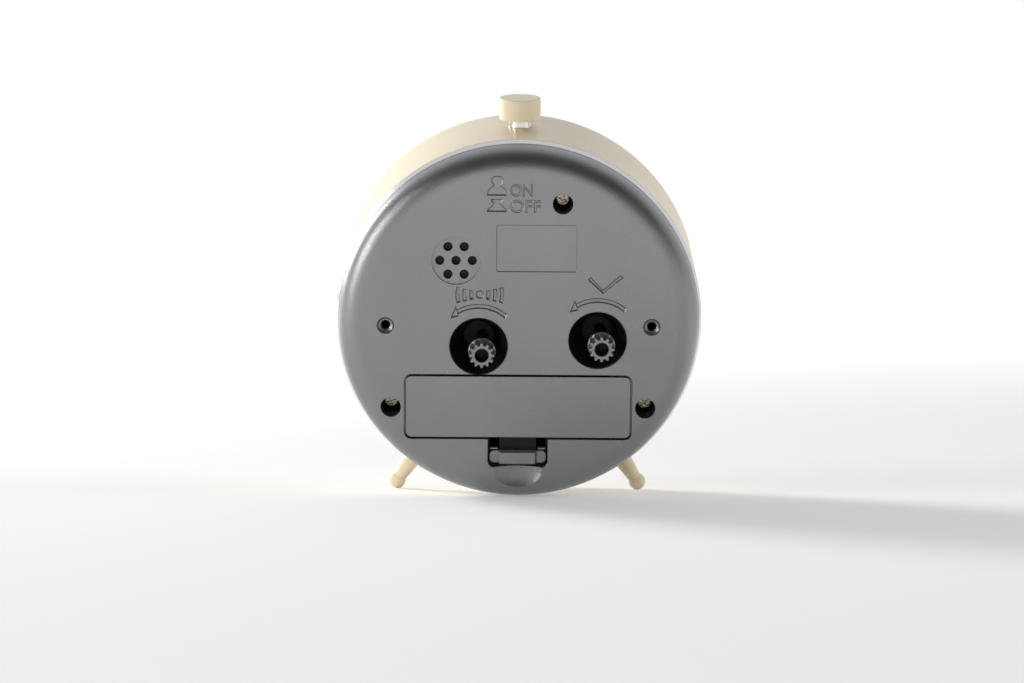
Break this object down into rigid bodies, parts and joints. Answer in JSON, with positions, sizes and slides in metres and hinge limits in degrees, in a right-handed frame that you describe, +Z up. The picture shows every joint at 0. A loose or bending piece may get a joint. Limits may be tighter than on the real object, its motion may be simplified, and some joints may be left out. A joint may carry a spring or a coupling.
{
  "type": "alarm clock",
  "caption": "Round leaning table alarm clock: steel drum on two ball-foot legs, moulded back with set knobs, battery door and grille, top alarm button.",
  "frame": {"origin": "centre of the footprint box on the surface that the clock stands on", "axes": "+Z up, dial facing -Y and tilted up by the lean, back cover facing +Y, +X to the right seen from the dial"},
  "size_m": [0.1, 0.0648, 0.1109],
  "materials": {
    "cream_paint": "satin cream enamel over steel",
    "clear_glass": "polished flat glass",
    "grey_moulding": "finely spark-eroded grey moulding",
    "dial_print": "matt printed dial",
    "black_moulding": "plain black moulding",
    "knob_moulding": "dark moulded stem",
    "plated_steel": "bright plated steel",
    "zinc_steel": "zinc plated steel",
    "brass_fitting": "turned brass",
    "white_wheels": "natural acetal",
    "copper_winding": "enamelled copper wire",
    "cell_sleeve": "plain printed sleeve",
    "hand_metal": "black lacquered hands",
    "accent_hand": "orange-brown lacquered hands"
  },
  "bodies": {
    "clock": {"case_drum": "cream_paint", "lens": "clear_glass", "dial_ring": "dial_print", "dial_plate": "dial_print", "inner_frame": "black_moulding", "back_cover": "grey_moulding", "battery_cell": "cell_sleeve", "contact_plates": "plated_steel", "negative_spring": "plated_steel", "speaker": "black_moulding", "case_screws": "plated_steel", "leg_left": "cream_paint", "leg_right": "cream_paint", "leg_nuts": "zinc_steel", "button_ferrule": "plated_steel", "button_nut": "zinc_steel", "button_switch": "black_moulding", "button_spring": "plated_steel", "works_housing": "black_moulding", "works_lid": "black_moulding", "works_nut": "brass_fitting", "stator": "plated_steel", "coil": "copper_winding", "circuit_board": "black_moulding"},
    "button": {"button_cap": "cream_paint", "button_stem": "plated_steel"},
    "door": {"battery_door": "grey_moulding"},
    "time_knob": {"time_set_knob": "knob_moulding"},
    "motion": {"motion_wheel": "white_wheels"},
    "minute": {"cannon_pinion": "white_wheels", "minute_hand": "hand_metal"},
    "hour": {"hour_wheel": "white_wheels", "hour_hand": "hand_metal"},
    "alarm_knob": {"alarm_set_knob": "knob_moulding"},
    "alarm": {"alarm_wheel": "white_wheels", "alarm_hand": "accent_hand"},
    "rotor": {"rotor": "white_wheels"},
    "step": {"step_wheel": "white_wheels"},
    "second": {"second_wheel": "white_wheels", "second_hand": "accent_hand"},
    "third": {"third_wheel": "white_wheels"},
    "centre": {"centre_wheel": "white_wheels"}
  },
  "joints": [
    {"name": "button_press", "type": "slide", "parent": "clock", "child": "button", "axis": [0, -0.2079, -0.9781], "range_m": [0, 0.0018], "deforming": ["button_spring"]},
    {"name": "door_hinge", "type": "hinge", "parent": "clock", "child": "door", "pos_m": [0, 0.01959, 0.03307], "axis": [1, 0, 0], "range_deg": [0, 70]},
    {"name": "time_knob_turn", "type": "hinge", "parent": "clock", "child": "time_knob", "pos_m": [-0.0224, 0.01471, 0.04498], "axis": [0, -0.9781, 0.2079], "continuous": true},
    {"name": "motion_wheel_turn", "type": "hinge", "parent": "clock", "child": "motion", "pos_m": [-0.00985, 0.01518, 0.04718], "axis": [0, -0.9781, 0.2079], "continuous": true},
    {"name": "minute_hand_turn", "type": "hinge", "parent": "clock", "child": "minute", "pos_m": [0, 0.01554, 0.04891], "axis": [0, -0.9781, 0.2079], "continuous": true},
    {"name": "hour_hand_turn", "type": "hinge", "parent": "clock", "child": "hour", "pos_m": [0, 0.01554, 0.04891], "axis": [0, -0.9781, 0.2079], "continuous": true},
    {"name": "alarm_knob_turn", "type": "hinge", "parent": "clock", "child": "alarm_knob", "pos_m": [0.00988, 0.01432, 0.04316], "axis": [0, -0.9781, 0.2079], "continuous": true},
    {"name": "alarm_hand_turn", "type": "hinge", "parent": "clock", "child": "alarm", "pos_m": [0, 0.01554, 0.04891], "axis": [0, -0.9781, 0.2079], "continuous": true},
    {"name": "rotor_turn", "type": "hinge", "parent": "clock", "child": "rotor", "pos_m": [-0.01351, 0.01716, 0.05654], "axis": [0, -0.9781, 0.2079], "continuous": true},
    {"name": "step_wheel_turn", "type": "hinge", "parent": "clock", "child": "step", "pos_m": [-0.00728, 0.01642, 0.05302], "axis": [0, -0.9781, 0.2079], "continuous": true},
    {"name": "second_hand_turn", "type": "hinge", "parent": "clock", "child": "second", "pos_m": [0, 0.01554, 0.04891], "axis": [0, -0.9781, 0.2079], "continuous": true},
    {"name": "third_wheel_turn", "type": "hinge", "parent": "clock", "child": "third", "pos_m": [0.0051, 0.01738, 0.05755], "axis": [0, -0.9781, 0.2079], "continuous": true},
    {"name": "centre_wheel_turn", "type": "hinge", "parent": "clock", "child": "centre", "pos_m": [0, 0.01554, 0.04891], "axis": [0, -0.9781, 0.2079], "continuous": true}
  ],
  "couplings": [
    {"joint": "motion_wheel_turn", "follows": "time_knob_turn", "ratio": -0.7},
    {"joint": "minute_hand_turn", "follows": "time_knob_turn", "ratio": 2.1},
    {"joint": "hour_hand_turn", "follows": "time_knob_turn", "ratio": 0.175},
    {"joint": "alarm_hand_turn", "follows": "alarm_knob_turn", "ratio": -0.35294},
    {"joint": "step_wheel_turn", "follows": "rotor_turn", "ratio": -0.2},
    {"joint": "second_hand_turn", "follows": "rotor_turn", "ratio": 0.033333},
    {"joint": "third_wheel_turn", "follows": "rotor_turn", "ratio": -0.0044444},
    {"joint": "centre_wheel_turn", "follows": "rotor_turn", "ratio": 0.00055556}
  ]
}
